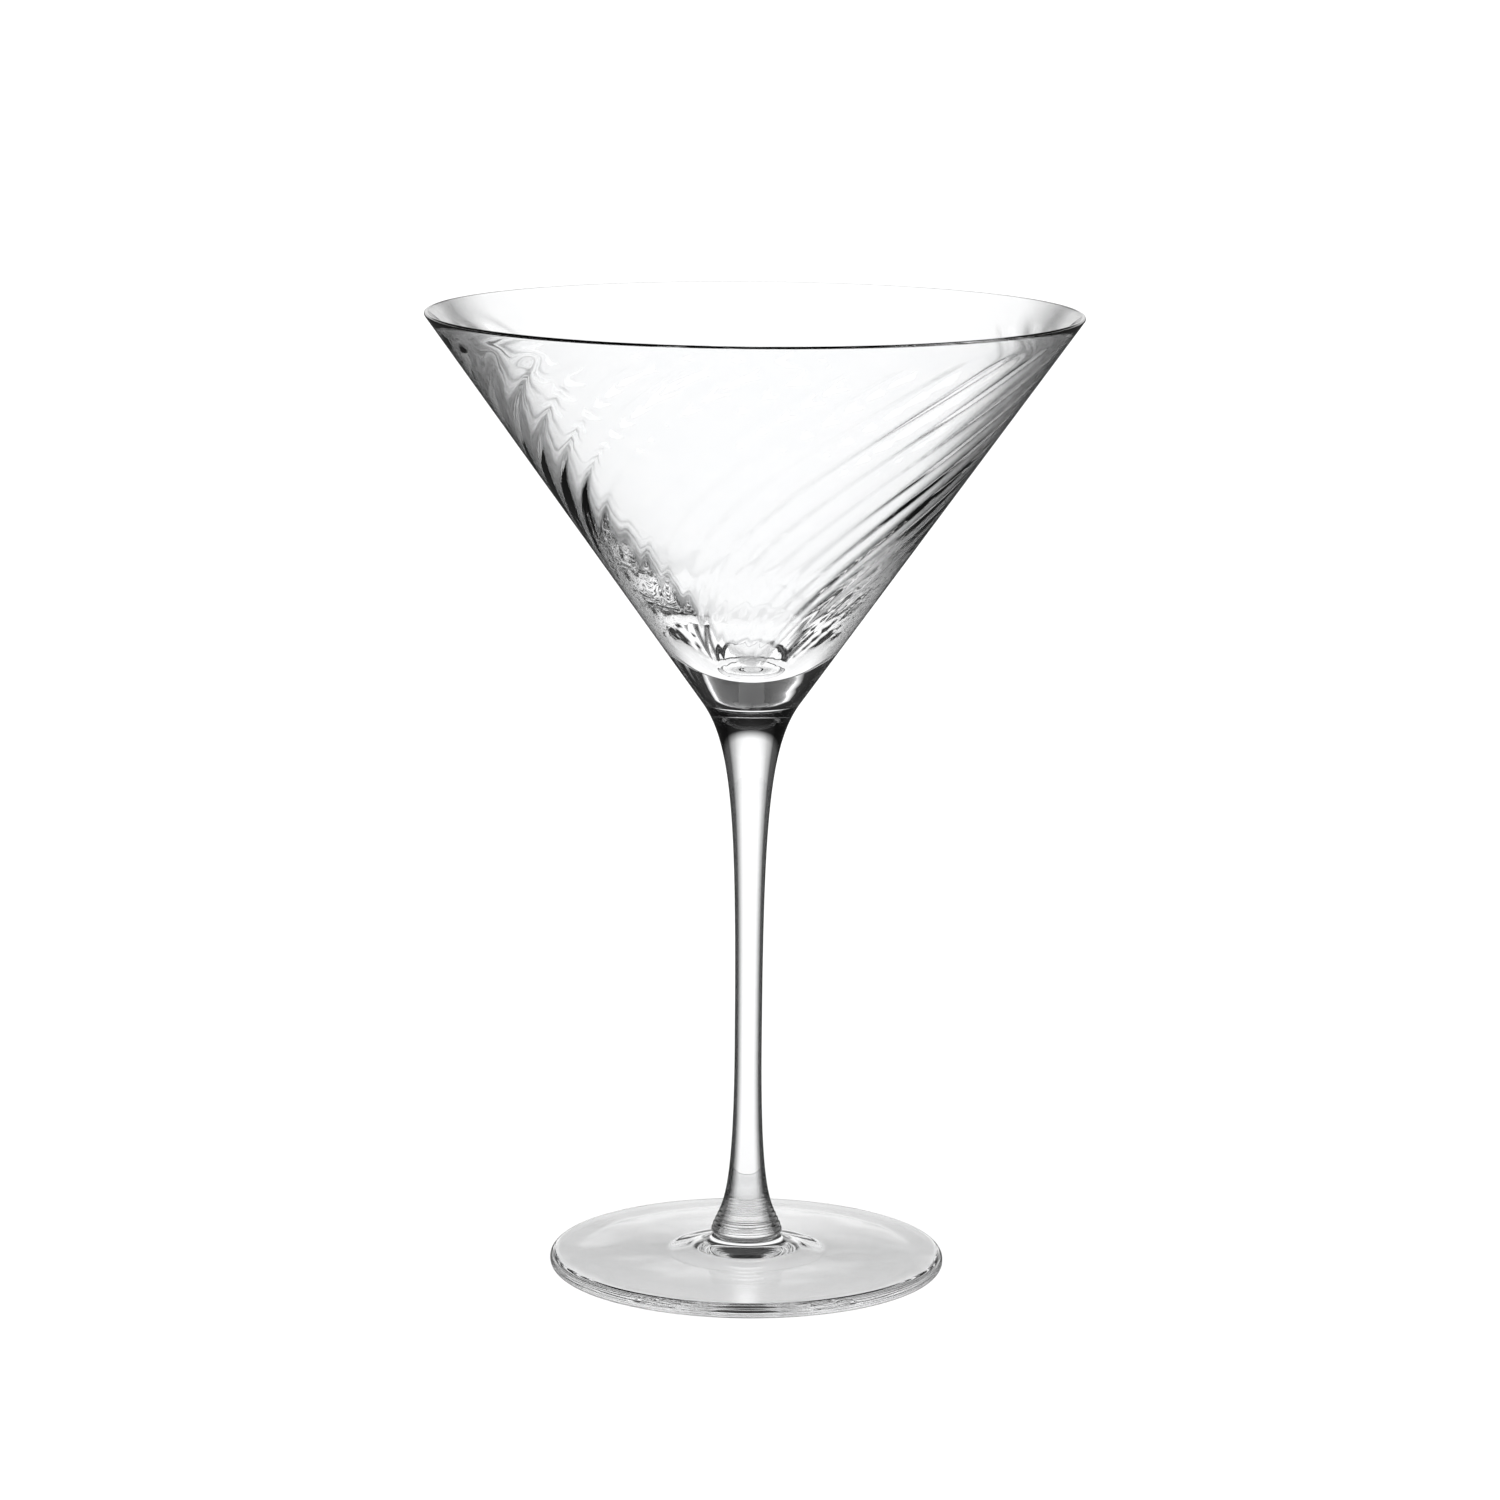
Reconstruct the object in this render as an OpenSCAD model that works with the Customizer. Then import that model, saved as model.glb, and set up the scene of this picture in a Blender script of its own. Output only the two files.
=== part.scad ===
// Martini glass: a conical bowl with swirled optic ribs inside, a drawn solid stem and a disc foot.
// The three pieces of glass are fused face to face. Millimetres, +Z up, and the origin is at the
// middle of the ring that the foot stands on.

/* [Overall] */
// Height from the table to the rim
glass_h = 179; // [176:1:182]
// Outer radius at the rim
rim_r = 60; // [58:0.5:62]

/* [Bowl] */
// How much the cone's outer radius grows for each millimetre of height
cone_slope = 0.713; // [0.7:0.005:0.725]
// Wall thickness at the rim
rim_wall = 0.8; // [0.7:0.1:1.2]
// Height of the lowest point of the inside
floor_z = 114.7; // [113.7:0.1:117]
// Height down to which the inside runs parallel to the outside
bend_z = 160; // [156:1:163]
// Radius of the gentle bend below that, by which the wall thickens towards the floor
bend_r = 250; // [240:5:280]

/* [Optic ribs] */
// Number of ribs round the inside
rib_count = 34; // [24:2:40]
// How far the tallest rib stands in from the wall at the mouth
rib_h = 0.65; // [0.2:0.05:0.8]
// Turn of the ribs for each millimetre of height, in degrees, anticlockwise going up
rib_twist = 1.65; // [0:0.05:2]

/* [Stem] */
// Radius of the stem at its waist
waist_r = 2.52; // [2:0.02:4]
// Height of the waist
waist_z = 42; // [38:1:46]
// Height at which the flare of the stem has opened out to the cone of the bowl
flare_top_z = 107; // [106:0.5:108]
// Height of the face where the stem is fused to the foot
foot_joint_z = 5.8; // [5.4:0.1:6.2]
// Radius of that face
foot_joint_r = 5.9; // [5.5:0.1:6.3]
// Widest radius of the skirt just above that face
skirt_r = 6.65; // [6.4:0.05:7.2]

/* [Foot] */
// Radius of the foot
foot_r = 36.8; // [34:0.1:40]
// Thickness of the foot at its edge
foot_edge_h = 2.8; // [2.6:0.1:3.2]
// Radius of the small hill by which the foot rises to the stem
hill_r = 10.5; // [9:0.1:12]
// Radius of the dimple in the middle of the underside
dimple_r = 14.5; // [12:0.5:18]
// Height of the dimple's highest point above the table
dimple_top_z = 1.9; // [1.2:0.1:2.3]

/* [Hidden] */
$fn = 96;

GLASS = [0.88, 0.9, 0.91];
CURVE_STEPS = 24;
ARC_STEPS = 8;
FLOOR_RINGS = 5;
BEND_RINGS = 9;
WALL_RINGS = 4;
RIB_SAMPLES = 4;

cone_half_angle = atan(cone_slope);
along_cone = [sin(cone_half_angle), cos(cone_half_angle)];
inward = [-cos(cone_half_angle), sin(cone_half_angle)];

// The rim is a half-round lip. Its inner side starts at lip_inner.
lip_r = rim_wall / 2;
lip_z = glass_h - lip_r;
lip_centre = [rim_r - lip_r, lip_z];
lip_inner = lip_centre + lip_r * inward;
lip_outer = lip_centre - lip_r * inward;
outer_apex_z = lip_outer[1] - lip_outer[0] / cone_slope;

// Outer radius of the bowl's cone at height z
function cone_r(z) = (z - outer_apex_z) * cone_slope;

function bezier(a, b, c, d, t) =
    pow(1 - t, 3) * a + 3 * pow(1 - t, 2) * t * b + 3 * (1 - t) * t * t * c + t * t * t * d;
function curve(a, b, c, d, steps = CURVE_STEPS) =
    [for (i = [0 : steps]) bezier(a, b, c, d, i / steps)];
function arc(centre, r, from, to, steps = ARC_STEPS) =
    [for (i = [0 : steps])
        let (angle = from + (to - from) * i / steps)
        centre + r * [cos(angle), sin(angle)]];
function without_first(points) = [for (i = [1 : len(points) - 1]) points[i]];

// Foot: a disc with a rounded edge and a small hill under the stem. Its underside is hollow inside the
// ring that it stands on, and has a dimple in the middle. The pulls are the handles of its curves.
edge_round = 1.3;
edge_roll_under = 0.7;
stand_ring_w = 3;
joint_land_w = 0.6;
hill_z = 3.7;
hill_top_pull = [1, -1.3];
hill_foot_pull = [-1.5, 0.2];
top_inner_pull = [9.5, -0.4];
top_outer_pull = [-7.5, 0.1];
dimple_z = 0.5;
hollow_outer_pull = [-5, 0.25];
hollow_inner_pull = [5, -0.1];
dimple_pull = [-4.5, 0.8];
dimple_top_pull = 5;
foot_top_r = foot_r - edge_round;
stand_r = foot_top_r - edge_roll_under;

module foot() {
    hill_top = [foot_joint_r + joint_land_w, foot_joint_z];
    hill_foot = [hill_r, hill_z];
    edge_top = [foot_top_r, foot_edge_h];
    hollow_edge = [stand_r - stand_ring_w, 0];
    dimple_edge = [dimple_r, dimple_z];
    dimple_top = [0, dimple_top_z];
    hill = curve(hill_top, hill_top + hill_top_pull, hill_foot + hill_foot_pull, hill_foot, ARC_STEPS);
    top = curve(hill_foot, hill_foot + top_inner_pull, edge_top + top_outer_pull, edge_top);
    edge = concat(
        arc([foot_top_r, foot_edge_h - edge_round], edge_round, 90, 0),
        arc([foot_top_r, edge_round], edge_round, 0, -75));
    hollow = curve(hollow_edge, hollow_edge + hollow_outer_pull, dimple_edge + hollow_inner_pull, dimple_edge);
    dimple = curve(dimple_edge, dimple_edge + dimple_pull, dimple_top + [dimple_top_pull, 0], dimple_top);
    color(GLASS)
        rotate_extrude()
            polygon(concat([[0, foot_joint_z]], hill, without_first(top), edge, [[stand_r, 0]],
                hollow, without_first(dimple)));
}

// Stem: solid, with a skirt on the foot, a waist, and a flare that opens into the bowl's cone
skirt = [skirt_r, foot_joint_z + 1.1];
tuck_pull = [0.15, -0.5];
skirt_pull = [0.15, -0.9];
neck = [4.65, foot_joint_z + 5.9];
neck_pull = [0.55, -1.7];
lower_pull = [-0.9, 2.8];
waist_below = 22;
waist_above = 41.5;
upper_lean = 9.9;

module stem() {
    flare_r = cone_r(flare_top_z);
    tuck = curve([foot_joint_r, foot_joint_z], [foot_joint_r, foot_joint_z - tuck_pull[1]],
        skirt + tuck_pull, skirt, ARC_STEPS);
    skirt_side = curve(skirt, skirt - skirt_pull, neck + neck_pull, neck, ARC_STEPS);
    lower = curve(neck, neck + lower_pull, [waist_r, waist_z - waist_below], [waist_r, waist_z]);
    upper = curve([waist_r, waist_z], [waist_r, waist_z + waist_above],
        [flare_r, flare_top_z] - upper_lean * along_cone, [flare_r, flare_top_z]);
    color(GLASS)
        rotate_extrude()
            polygon(concat([[0, foot_joint_z]], tuck, skirt_side, lower, upper, [[0, flare_top_z]]));
}

// Bowl: the cone, the lip and a smooth mouth are turned, and the ribbed inside below the mouth is
// computed ring by ring
ring_points = rib_count * RIB_SAMPLES;
ribs_fade = 4;
rib_spread = 1.5;
mouth_depth = 3;
mouth_ledge = 0.03;
above_mouth = 1;

mouth = lip_inner - mouth_depth * along_cone;
inside_top = mouth - [mouth_ledge, 0];

// The inside runs parallel to the cone down to bend, follows the bend's arc, and ends in a round
// floor whose circle touches that arc from inside and has its lowest point on the axis at floor_z.
bend = lip_inner - along_cone * (lip_inner[1] - bend_z) / along_cone[1];
bend_centre = bend + bend_r * inward;
bend_rise = bend_centre[1] - floor_z;
floor_r = (bend_r * bend_r - bend_centre[0] * bend_centre[0] - bend_rise * bend_rise) / (2 * (bend_r - bend_rise));
floor_centre = [0, floor_z + floor_r];
floor_end = -atan2(bend_centre[1] - floor_centre[1], -bend_centre[0]);
inner_profile = concat(
    without_first(arc(floor_centre, floor_r, -90, floor_end, FLOOR_RINGS)),
    without_first(arc(bend_centre, bend_r, floor_end, -cone_half_angle, BEND_RINGS)),
    [for (i = [1 : WALL_RINGS]) bend + (inside_top - bend) * i / WALL_RINGS]);

function ramp(a, b, x) = let (t = min(1, max(0, (x - a) / (b - a)))) t * t * (3 - 2 * t);
function rib_depth(p) =
    rib_h * pow(p[0] / mouth[0], rib_spread) * (1 - ramp(mouth[1] - ribs_fade, mouth[1], p[1]));
// No two ribs are quite alike: their strength and their spacing drift round the bowl. Each drift is a
// wave: how much, how many times round, and where it starts in degrees.
strength_mean = 0.6;
slow_drift = [0.24, 5, 63];
quick_drift = [0.16, 11, 132];
spacing_drift = [40, 4, 40];
rib_sharpness = 2;
function wave(drift, angle) = drift[0] * sin(drift[1] * angle + drift[2]);
function rib(angle) =
    let (
        strength = strength_mean + wave(slow_drift, angle) + wave(quick_drift, angle),
        phase = rib_count * angle + wave(spacing_drift, angle))
    strength * pow(0.5 + 0.5 * cos(phase), rib_sharpness);

// One ring of the inside at profile point p. The points turn with the ribs, so the facets follow them.
function ribbed_ring(p) =
    let (depth = rib_depth(p), turn = rib_twist * (p[1] - floor_z))
    [for (i = [0 : ring_points - 1])
        let (angle = 360 * i / ring_points, r = p[0] - depth * rib(angle))
        [r * cos(angle + turn), r * sin(angle + turn), p[1]]];

module ribbed_inside() {
    profile = concat(inner_profile, [inside_top + [0, above_mouth]]);
    rings = len(profile);
    points = [for (p = profile) each ribbed_ring(p)];
    bottom = [for (i = [0 : ring_points - 1]) i];
    top = [for (i = [ring_points - 1 : -1 : 0]) (rings - 1) * ring_points + i];
    sides = [for (k = [0 : rings - 2], i = [0 : ring_points - 1])
        let (a = k * ring_points + i, b = k * ring_points + (i + 1) % ring_points)
        each [[a, a + ring_points, b], [b, a + ring_points, b + ring_points]]];
    polyhedron(points, concat([bottom, top], sides));
}

module bowl() {
    lip = arc(lip_centre, lip_r, -cone_half_angle, 180 - cone_half_angle);
    color(GLASS)
        difference() {
            rotate_extrude()
                polygon(concat([[0, flare_top_z], [cone_r(flare_top_z), flare_top_z]],
                    lip, [mouth, [0, mouth[1]]]));
            ribbed_inside();
        }
}

foot();
stem();
bowl();
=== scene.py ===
"""Martini glass: clear glass in three fused pieces, on a plain white floor under soft light.

Everything is in metres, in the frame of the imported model, with Z up and the foot on z = 0.
"""
import math

import bpy
from mathutils import Matrix, Vector


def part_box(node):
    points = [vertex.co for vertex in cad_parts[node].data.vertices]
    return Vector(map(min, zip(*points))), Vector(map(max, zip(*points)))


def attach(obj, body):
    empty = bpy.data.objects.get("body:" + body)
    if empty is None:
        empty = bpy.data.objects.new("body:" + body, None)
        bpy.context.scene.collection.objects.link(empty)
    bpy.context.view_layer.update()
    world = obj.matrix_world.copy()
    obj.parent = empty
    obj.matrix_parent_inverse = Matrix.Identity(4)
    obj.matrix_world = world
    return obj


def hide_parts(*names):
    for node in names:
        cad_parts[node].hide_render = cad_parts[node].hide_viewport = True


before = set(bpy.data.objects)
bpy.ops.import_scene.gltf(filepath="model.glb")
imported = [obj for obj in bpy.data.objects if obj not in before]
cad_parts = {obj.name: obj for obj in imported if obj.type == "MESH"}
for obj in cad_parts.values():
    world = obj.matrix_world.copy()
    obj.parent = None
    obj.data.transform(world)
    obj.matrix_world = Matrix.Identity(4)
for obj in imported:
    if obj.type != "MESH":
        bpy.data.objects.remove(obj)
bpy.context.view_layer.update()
MM = 0.001

# ---------------------------------------------------------------- dimensions from the frame

bowl_low, bowl_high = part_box("bowl")
stem_low, stem_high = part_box("stem")
foot_low, foot_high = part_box("foot")

GLASS_H = bowl_high[2]
RIM_R = max(bowl_high[0], bowl_high[1])
FLARE_TOP_Z = bowl_low[2]
FOOT_JOINT_Z = stem_low[2]
FOOT_R = max(foot_high[0], foot_high[1])

# ---------------------------------------------------------------- the bowl's driving dimensions

CONE_SLOPE = 0.713
RIM_WALL = 0.8 * MM
FLOOR_Z = 114.7 * MM
BEND_Z = 160 * MM
BEND_R = 250 * MM
MOUTH_DEPTH = 3 * MM
RIB_COUNT = 34
RIB_H = 0.65 * MM
RIB_SPREAD = 1.5
RIB_POWER = 2
RIB_TWIST = math.radians(1.65) / MM

SEGMENTS = 272

# ---------------------------------------------------------------- the foot's driving dimensions

FOOT_JOINT_R = 5.9 * MM
JOINT_LAND_W = 0.6 * MM
HILL_R = 10.5 * MM
HILL_Z = 3.7 * MM
TOP_PULL_R = (20 * MM, 28 * MM)
EDGE_ROUND = 1.3 * MM
EDGE_H = 2.8 * MM
STAND_INSET = 0.7 * MM
STAND_W = 3 * MM
DIMPLE_R = 14.5 * MM
DIMPLE_Z = 0.5 * MM
DIMPLE_TOP_Z = 1.9 * MM

# ---------------------------------------------------------------- the stem's driving dimensions

SKIRT_R = 6.65 * MM
SKIRT_RISE = 1.1 * MM
TUCK = 0.5 * MM
NECK_R = 4.65 * MM
NECK_Z = 11.7 * MM
WAIST_R = 2.52 * MM
WAIST_Z = 42 * MM
FLARE_PULL = 9.9 * MM
RING_H = 0.05 * MM
RING_PITCH = 0.9 * MM

# ---------------------------------------------------------------- glass and studio

# Each piece: the frequency of its waves across and along the axis, their height, and its painted edge
# shade.
# A painted edge shade stop is (facing, tone): facing is 0 where the surface is met head on and 1 at its
# edge, and the tone is painted shade that darkens the glass's colour there.
FOOT_WAVES_AND_PAINTED_SHADE = ((90, 90), 0.06 * MM, ((0.55, 1.0), (0.85, 0.72), (1.0, 0.2)))
STEM_WAVES_AND_PAINTED_SHADE = ((140, 25), 0.012 * MM, ((0.1, 1.0), (0.24, 0.25), (0.38, 0.01)))
BOWL_WAVES_AND_PAINTED_SHADE = ((140, 280), 0.01 * MM, ((0.5, 1.0), (0.66, 0.25), (0.9, 0.02)))
GLASS_IOR = 1.5
TINT = ((0.3, (0.98, 0.985, 0.99)), (0.7, (0.992, 0.994, 0.997)))

FLOOR_TONE = 0.92
FLOOR_SIZE = 8
FLOOR_GAP = 0.05 * MM

# Angles above the horizon, in degrees, between which the world changes tone.
WORLD_STRENGTH = 1.25
SKYLINE = (10, 16)
SKY_TONE = 0.03
MIRROR_LOW = (-2, 3)
MIRROR_TONE = 0.04

CAMERA_PLACE = (-0.00017, -0.9375, 0.272)
CAMERA_PITCH = math.radians(10.51)
CAMERA_ROLL = math.radians(0.526)
CAMERA_LENS = 124.06


# ---------------------------------------------------------------- outlines

def mm(r, z):
    """A point or an offset in millimetres."""
    return Vector((r * MM, z * MM))


def bezier(a, b, c, d, steps):
    """Points (r, z) of a cubic Bezier, both ends included."""
    points = []
    for i in range(steps + 1):
        t = i / steps
        points.append(a * (1 - t) ** 3 + b * 3 * (1 - t) ** 2 * t + c * 3 * (1 - t) * t * t + d * t ** 3)
    return points


def arc(centre, r, start, end, steps):
    """Points (r, z) of an arc between two angles in degrees, both ends included."""
    points = []
    for i in range(steps + 1):
        angle = math.radians(start + (end - start) * i / steps)
        points.append(centre + Vector((r * math.cos(angle), r * math.sin(angle))))
    return points


def line(a, b, steps):
    """Points (r, z) of a straight line, both ends included."""
    return [a.lerp(b, i / steps) for i in range(steps + 1)]


def ramp(a, b, x):
    """0 up to a, 1 from b on, and smooth between."""
    t = min(1.0, max(0.0, (x - a) / (b - a)))
    return t * t * (3 - 2 * t)


CONE_ANGLE = math.atan(CONE_SLOPE)
ALONG_CONE = Vector((math.sin(CONE_ANGLE), math.cos(CONE_ANGLE)))
INWARD = Vector((-math.cos(CONE_ANGLE), math.sin(CONE_ANGLE)))

LIP_R = RIM_WALL / 2
LIP_CENTRE = Vector((RIM_R - LIP_R, GLASS_H - LIP_R))
LIP_OUTER = LIP_CENTRE - INWARD * LIP_R
CONE_APEX_Z = LIP_OUTER.y - LIP_OUTER.x / CONE_SLOPE

LIP_INNER = LIP_CENTRE + INWARD * LIP_R
MOUTH = LIP_INNER - ALONG_CONE * MOUTH_DEPTH

# The inside runs parallel to the outside down to BEND_Z, bends gently in, and ends in a round floor.
BEND = LIP_INNER - ALONG_CONE * ((LIP_INNER.y - BEND_Z) / ALONG_CONE.y)
BEND_CENTRE = BEND + INWARD * BEND_R
BEND_RISE = BEND_CENTRE.y - FLOOR_Z
FLOOR_R = (BEND_R ** 2 - BEND_CENTRE.x ** 2 - BEND_RISE ** 2) / (2 * (BEND_R - BEND_RISE))
FLOOR_CENTRE = Vector((0, FLOOR_Z + FLOOR_R))
FLOOR_ANGLE = math.degrees(math.atan2(BEND_CENTRE.y - FLOOR_CENTRE.y, FLOOR_CENTRE.x - BEND_CENTRE.x))


def cone_r(z):
    return (z - CONE_APEX_Z) * CONE_SLOPE


# ---------------------------------------------------------------- meshes

def turned(name, rings, welds=()):
    """A closed solid of revolution. rings is a list of (r, z, turn, wobble): wobble(angle) is taken off r.

    The first and last rings are poles on the axis. The faces of the bands numbered in welds get the second
    material slot, which is the fused face that it shares with its neighbour.
    """
    verts = []
    for r, z, turn, wobble in rings[1:-1]:
        for i in range(SEGMENTS):
            angle = math.tau * i / SEGMENTS
            radius = r - (wobble(angle) if wobble else 0.0)
            verts.append((radius * math.cos(angle + turn), radius * math.sin(angle + turn), z))
    first_pole = len(verts)
    verts.append((0, 0, rings[0][1]))
    last_pole = len(verts)
    verts.append((0, 0, rings[-1][1]))
    faces = []
    slots = []
    bands = len(rings) - 1
    for band in range(bands):
        slot = 1 if band in welds else 0
        for i in range(SEGMENTS):
            j = (i + 1) % SEGMENTS
            above = band * SEGMENTS
            below = above - SEGMENTS
            if band == 0:
                faces.append((first_pole, j, i))
            elif band == bands - 1:
                faces.append((last_pole, below + i, below + j))
            else:
                faces.append((below + i, below + j, above + j, above + i))
            slots.append(slot)
    mesh = bpy.data.meshes.new(name)
    mesh.from_pydata(verts, [], faces)
    mesh.polygons.foreach_set("material_index", slots)
    mesh.polygons.foreach_set("use_smooth", [slot == 0 for slot in slots])
    mesh.update()
    obj = bpy.data.objects.new(name, mesh)
    bpy.context.scene.collection.objects.link(obj)
    return obj


def plain(points, turn=0.0):
    """Rings without ribs, for turned()."""
    return [(p.x, p.y, turn, None) for p in points]


def make_foot():
    top_r = FOOT_R - EDGE_ROUND
    stand_r = top_r - STAND_INSET
    joint_edge = Vector((FOOT_JOINT_R, FOOT_JOINT_Z))
    hill_top = joint_edge + Vector((JOINT_LAND_W, 0))
    hill_foot = Vector((HILL_R, HILL_Z))
    top_edge = Vector((top_r, EDGE_H))
    dimple_edge = Vector((DIMPLE_R, DIMPLE_Z))
    dimple_top = Vector((0, DIMPLE_TOP_Z))
    hollow_edge = Vector((stand_r - STAND_W, 0))
    outline = [Vector((0, FOOT_JOINT_Z)), joint_edge]
    outline += bezier(hill_top, hill_top + mm(1, -1.3), hill_foot + mm(-1.5, 0.2), hill_foot, 16)
    outline += bezier(hill_foot, Vector((TOP_PULL_R[0], HILL_Z)) + mm(0, -0.4),
                      Vector((TOP_PULL_R[1], EDGE_H)) + mm(0, 0.1), top_edge, 32)[1:]
    outline += arc(Vector((top_r, EDGE_H - EDGE_ROUND)), EDGE_ROUND, 90, 0, 10)
    outline += arc(Vector((top_r, EDGE_ROUND)), EDGE_ROUND, 0, -75, 8)
    outline.append(Vector((stand_r, 0)))
    outline += bezier(hollow_edge, hollow_edge + mm(-5, 0.25), dimple_edge + mm(5, -0.1), dimple_edge, 24)
    outline += bezier(dimple_edge, dimple_edge + mm(-4.5, 0.8), dimple_top + mm(5, 0), dimple_top, 24)[1:]
    rings = plain(outline)[::-1]
    return turned("foot_glass", rings, welds=(len(rings) - 2,))


def tool_marks(points, low, high):
    """Faint rings round the skirt, fading out at both ends."""
    marked = []
    for p in points:
        swell = ramp(low, low + 1 * MM, p.y) * (1 - ramp(high - 2 * MM, high, p.y))
        wave = math.sin(math.tau * (p.y - low) / RING_PITCH)
        marked.append(p + Vector((RING_H * swell * wave, 0)))
    return marked


def make_stem():
    joint_edge = Vector((FOOT_JOINT_R, FOOT_JOINT_Z))
    skirt = Vector((SKIRT_R, FOOT_JOINT_Z + SKIRT_RISE))
    neck = Vector((NECK_R, NECK_Z))
    waist = Vector((WAIST_R, WAIST_Z))
    flare = Vector((cone_r(FLARE_TOP_Z), FLARE_TOP_Z))
    lift = Vector((0, TUCK))
    outline = [Vector((0, FOOT_JOINT_Z))]
    outline += bezier(joint_edge, joint_edge + lift, skirt + mm(0.15, 0) - lift, skirt, 10)
    smooth = bezier(skirt, skirt + mm(-0.15, 0.9), neck + mm(0.55, -1.7), neck, 30)
    outline += tool_marks(smooth, skirt.y, neck.y)[1:]
    outline += bezier(neck, neck + mm(-0.9, 2.8), waist + mm(0, -22), waist, 48)[1:]
    outline += bezier(waist, waist + mm(0, 41.5), flare - ALONG_CONE * FLARE_PULL, flare, 72)[1:]
    outline.append(Vector((0, FLARE_TOP_Z)))
    return turned("stem_glass", plain(outline), welds=(0, len(outline) - 2))


def rib_depth(point):
    """The ribs are deepest near the mouth, where the bowl was blown widest, and fade out on the floor."""
    spread = (point.x / MOUTH.x) ** RIB_SPREAD
    return RIB_H * spread * (1 - ramp(MOUTH.y - 4 * MM, MOUTH.y, point.y))


def rib(angle):
    """The ribs' height round the bowl. They were drawn by hand, so no two are quite alike."""
    slow_drift = 0.24 * math.sin(5 * angle + math.radians(63))
    quick_drift = 0.16 * math.sin(11 * angle + math.radians(132))
    strength = 0.6 + slow_drift + quick_drift
    phase = RIB_COUNT * angle + math.radians(40) * math.sin(4 * angle + math.radians(40))
    return strength * (0.5 + 0.5 * math.cos(phase)) ** RIB_POWER


def ribbed(point):
    """A ring of the inside of the bowl: its points turn with the ribs."""
    depth = rib_depth(point)
    turn = RIB_TWIST * (point.y - FLOOR_Z)
    return (point.x, point.y, turn, lambda angle: depth * rib(angle))


def make_bowl():
    full_turn = RIB_TWIST * (MOUTH.y - FLOOR_Z)
    cone_foot = Vector((cone_r(FLARE_TOP_Z), FLARE_TOP_Z))
    cone_degrees = math.degrees(CONE_ANGLE)
    outside = line(cone_foot, LIP_OUTER, 40)[:-1]
    outside += arc(LIP_CENTRE, LIP_R, -cone_degrees, 180 - cone_degrees, 16)
    mouth = line(LIP_INNER, MOUTH, 4)[1:]
    wall = line(MOUTH, BEND, 32)[1:]
    bend = arc(BEND_CENTRE, BEND_R, -cone_degrees, -FLOOR_ANGLE, 80)[1:]
    floor = arc(FLOOR_CENTRE, FLOOR_R, -FLOOR_ANGLE, -90, 24)[1:-1]
    inside = wall + bend + floor + [Vector((0, FLOOR_Z))]
    rings = plain([Vector((0, FLARE_TOP_Z))] + outside + mouth, full_turn) + [ribbed(p) for p in inside]
    return turned("bowl_glass", rings, welds=(0,))


# ---------------------------------------------------------------- materials

def blank_material(name):
    material = bpy.data.materials.new(name)
    material.use_nodes = True
    return material, material.node_tree.nodes, material.node_tree.links


def colour_ramp(nodes, stops):
    """A ColorRamp node from (position, colour) stops, in order."""
    node = nodes.new("ShaderNodeValToRGB")
    elements = node.color_ramp.elements
    elements[0].position = stops[0][0]
    elements[0].color = (*stops[0][1], 1)
    elements[1].position = stops[-1][0]
    elements[1].color = (*stops[-1][1], 1)
    for position, colour in stops[1:-1]:
        elements.new(position).color = (*colour, 1)
    return node


def glass(name, grain, relief_h, painted_edge_shade):
    """Clear crystal. Faint waves bend the light, and painted shade darkens its colour towards each edge.

    The painted dark edges stand in for the dark cards of a glass photographer's studio.
    """
    material, nodes, links = blank_material(name)
    shader = nodes["Principled BSDF"]
    shader.inputs["Roughness"].default_value = 0.0
    shader.inputs["IOR"].default_value = GLASS_IOR
    shader.inputs["Transmission Weight"].default_value = 1.0
    place = nodes.new("ShaderNodeTexCoord")
    stretch = nodes.new("ShaderNodeMapping")
    stretch.inputs["Scale"].default_value = (grain[0], grain[0], grain[1])
    links.new(place.outputs["Object"], stretch.inputs["Vector"])
    striae = nodes.new("ShaderNodeTexNoise")
    striae.inputs["Scale"].default_value = 1.0
    striae.inputs["Detail"].default_value = 1.0
    links.new(stretch.outputs["Vector"], striae.inputs["Vector"])
    relief = nodes.new("ShaderNodeBump")
    relief.inputs["Strength"].default_value = 1.0
    relief.inputs["Distance"].default_value = relief_h
    links.new(striae.outputs["Fac"], relief.inputs["Height"])
    links.new(relief.outputs["Normal"], shader.inputs["Normal"])
    tint = colour_ramp(nodes, TINT)
    links.new(striae.outputs["Fac"], tint.inputs["Fac"])
    # Painted shade: the surface's facing darkens the glass's base colour towards its edges, in place of
    # the dark studio cards that real glass edges show.
    slant = nodes.new("ShaderNodeLayerWeight")
    slant.inputs["Blend"].default_value = 0.5
    edge = colour_ramp(nodes, [(facing, (tone, tone, tone)) for facing, tone in painted_edge_shade])
    links.new(slant.outputs["Facing"], edge.inputs["Fac"])
    both = nodes.new("ShaderNodeMix")
    both.data_type = "RGBA"
    both.blend_type = "MULTIPLY"
    both.inputs["Factor"].default_value = 1.0
    links.new(tint.outputs["Color"], both.inputs["A"])
    links.new(edge.outputs["Color"], both.inputs["B"])
    links.new(both.outputs["Result"], shader.inputs["Base Color"])
    return material


def fused():
    """The face where two pieces are fused: light goes straight through it."""
    material, nodes, links = blank_material("fused_face")
    nodes.remove(nodes["Principled BSDF"])
    clear = nodes.new("ShaderNodeBsdfTransparent")
    links.new(clear.outputs[0], nodes["Material Output"].inputs["Surface"])
    return material


# ---------------------------------------------------------------- studio

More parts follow.
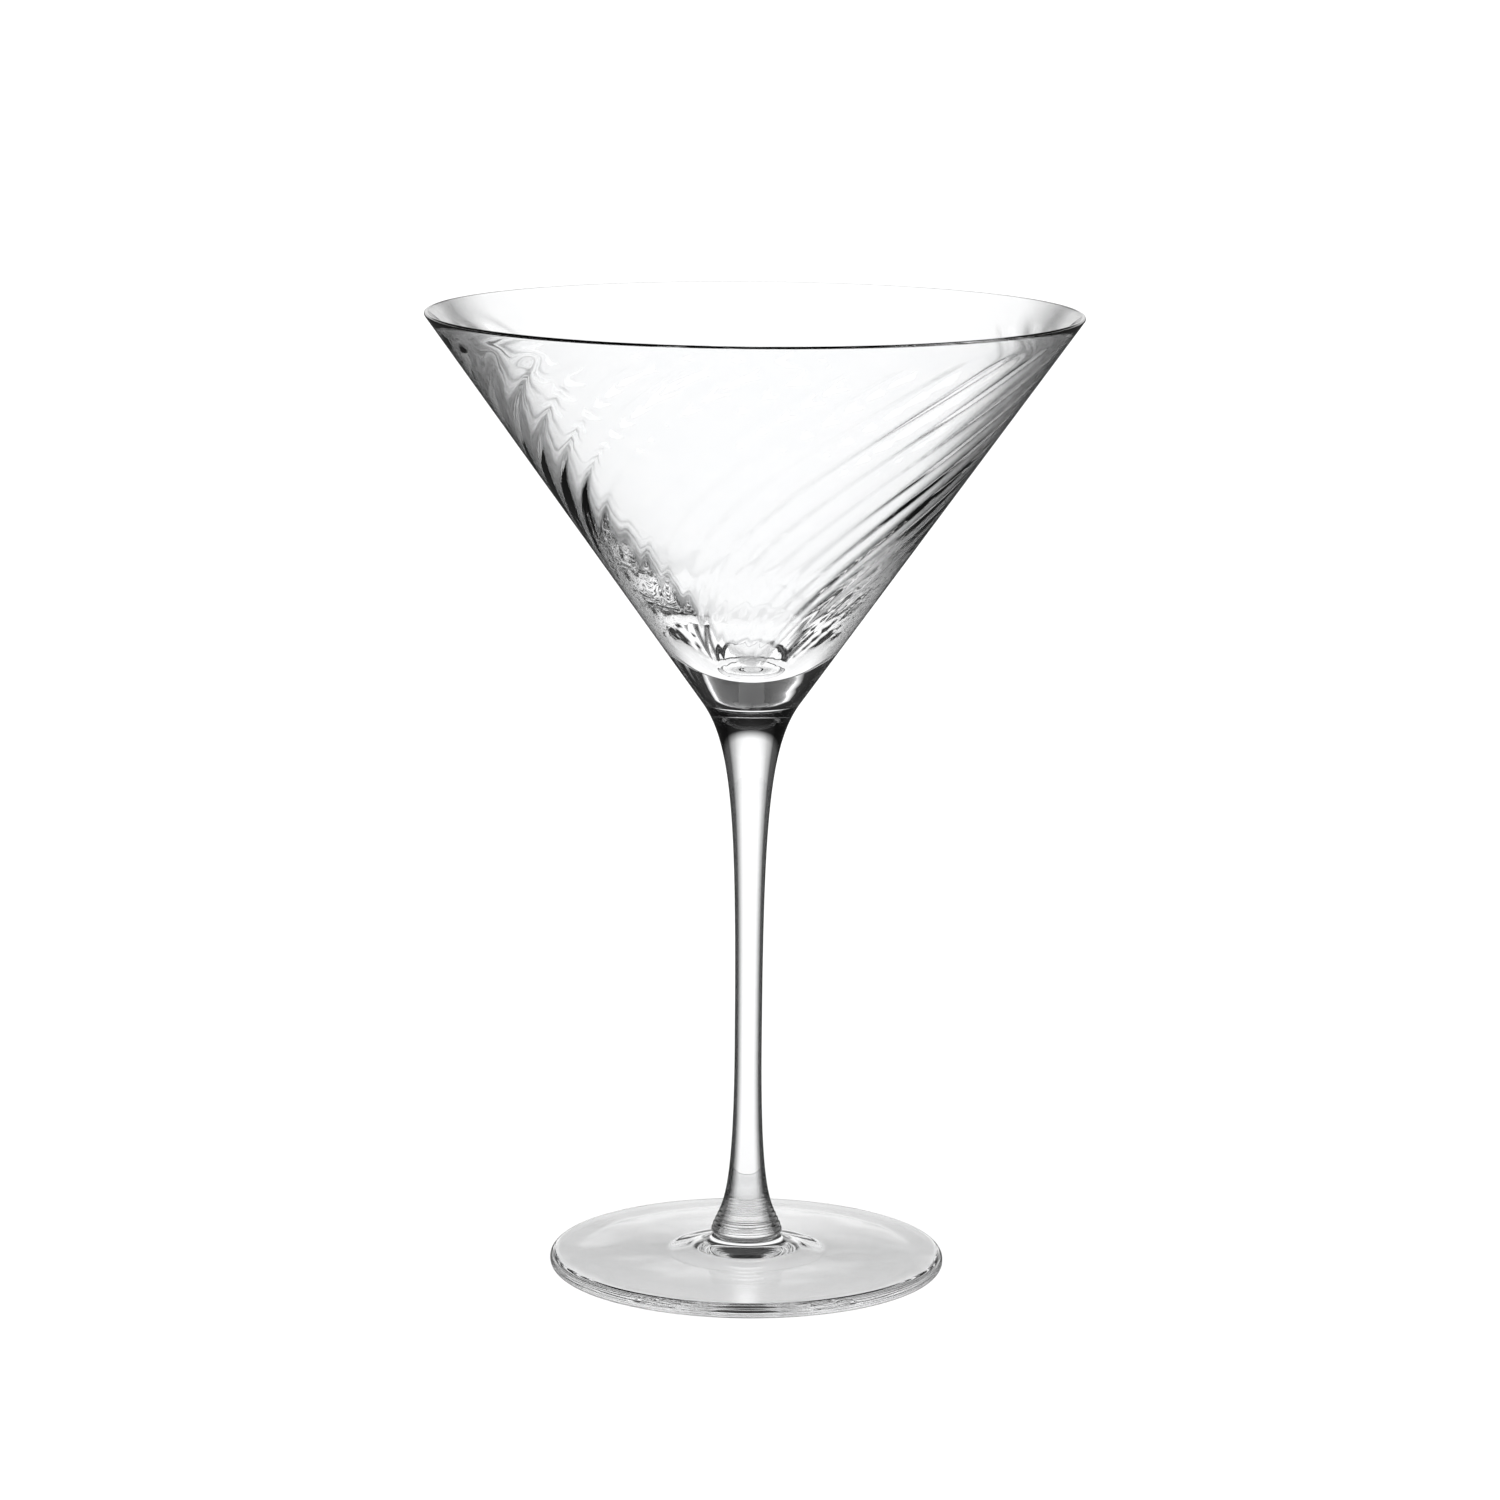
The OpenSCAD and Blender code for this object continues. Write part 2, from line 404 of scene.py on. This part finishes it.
def make_floor():
    """A plain white floor. Reflections don't meet it, so they find the world below the horizon."""
    bpy.ops.mesh.primitive_plane_add(size=FLOOR_SIZE, location=(0, 0, -FLOOR_GAP))
    floor = bpy.context.object
    floor.name = "floor"
    material, nodes, links = blank_material("floor_white")
    shader = nodes["Principled BSDF"]
    shader.inputs["Base Color"].default_value = (FLOOR_TONE, FLOOR_TONE, FLOOR_TONE, 1)
    shader.inputs["Roughness"].default_value = 0.9
    shader.inputs["Specular IOR Level"].default_value = 0.0
    floor.data.materials.append(material)
    floor.visible_glossy = False


def tone_by_height(nodes, links, height, degrees, low_tone, high_tone):
    """A tone that changes from low_tone to high_tone between two angles above the horizon."""
    node = nodes.new("ShaderNodeMapRange")
    node.inputs["From Min"].default_value = math.sin(math.radians(degrees[0]))
    node.inputs["From Max"].default_value = math.sin(math.radians(degrees[1]))
    node.inputs["To Min"].default_value = low_tone
    node.inputs["To Max"].default_value = high_tone
    links.new(height.outputs["Z"], node.inputs["Value"])
    return node


def make_world():
    """White all round to the camera and to the bare floor.

    Light that the glass passes on comes from a world that is dark above SKYLINE. Light that it
    reflects comes from one that is dark below MIRROR_LOW as well. Both are fixed in the world.
    """
    world = bpy.data.worlds.new("studio")
    bpy.context.scene.world = world
    world.use_nodes = True
    nodes = world.node_tree.nodes
    links = world.node_tree.links
    background = nodes["Background"]
    background.inputs["Strength"].default_value = WORLD_STRENGTH
    place = nodes.new("ShaderNodeTexCoord")
    height = nodes.new("ShaderNodeSeparateXYZ")
    links.new(place.outputs["Generated"], height.inputs[0])
    path = nodes.new("ShaderNodeLightPath")
    sky = tone_by_height(nodes, links, height, SKYLINE, 1.0, SKY_TONE)
    low = tone_by_height(nodes, links, height, MIRROR_LOW, MIRROR_TONE, 1.0)
    mirrored = nodes.new("ShaderNodeMix")
    mirrored.inputs["A"].default_value = 1.0
    links.new(path.outputs["Is Reflection Ray"], mirrored.inputs["Factor"])
    links.new(low.outputs[0], mirrored.inputs["B"])
    found = nodes.new("ShaderNodeMath")
    found.operation = "MULTIPLY"
    links.new(sky.outputs[0], found.inputs[0])
    links.new(mirrored.outputs["Result"], found.inputs[1])
    by_glass = nodes.new("ShaderNodeMath")
    links.new(path.outputs["Is Glossy Ray"], by_glass.inputs[0])
    links.new(path.outputs["Is Transmission Ray"], by_glass.inputs[1])
    seen = nodes.new("ShaderNodeMath")
    seen.operation = "SUBTRACT"
    seen.use_clamp = True
    links.new(by_glass.outputs[0], seen.inputs[0])
    links.new(path.outputs["Diffuse Depth"], seen.inputs[1])
    mix = nodes.new("ShaderNodeMix")
    mix.data_type = "RGBA"
    mix.inputs["A"].default_value = (1, 1, 1, 1)
    links.new(seen.outputs[0], mix.inputs["Factor"])
    links.new(found.outputs[0], mix.inputs["B"])
    links.new(mix.outputs["Result"], background.inputs["Color"])


def make_camera():
    data = bpy.data.cameras.new("camera")
    data.sensor_width = 36
    data.lens = CAMERA_LENS
    data.clip_start = 0.01
    data.clip_end = 100
    camera = bpy.data.objects.new("camera", data)
    tilt = Matrix.Rotation(math.pi / 2 - CAMERA_PITCH, 4, "X")
    roll = Matrix.Rotation(CAMERA_ROLL, 4, "Z")
    camera.matrix_world = Matrix.Translation(CAMERA_PLACE) @ tilt @ roll
    bpy.context.scene.collection.objects.link(camera)
    bpy.context.scene.camera = camera


def set_light_paths():
    """Enough bounces for light to get through three pieces of glass, and plain tones."""
    scene = bpy.context.scene
    scene.view_settings.view_transform = "Standard"
    scene.view_settings.look = "None"
    scene.cycles.max_bounces = 32
    scene.cycles.transmission_bounces = 32
    scene.cycles.glossy_bounces = 16
    scene.cycles.transparent_max_bounces = 32
    scene.cycles.use_denoising = True


set_light_paths()
make_camera()
make_world()
make_floor()
clear_face = fused()
for make, node, look in ((make_foot, "foot", FOOT_WAVES_AND_PAINTED_SHADE), (make_stem, "stem", STEM_WAVES_AND_PAINTED_SHADE),
                         (make_bowl, "bowl", BOWL_WAVES_AND_PAINTED_SHADE)):
    piece = make()
    piece.data.materials.append(glass(node + "_clear", *look))
    piece.data.materials.append(clear_face)
    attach(piece, "root")
    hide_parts(node)
    # The foot lets the floor's light by, which would otherwise leave the floor under it dark grey.
    piece.visible_shadow = node != "foot"
    piece.visible_diffuse = node != "foot"
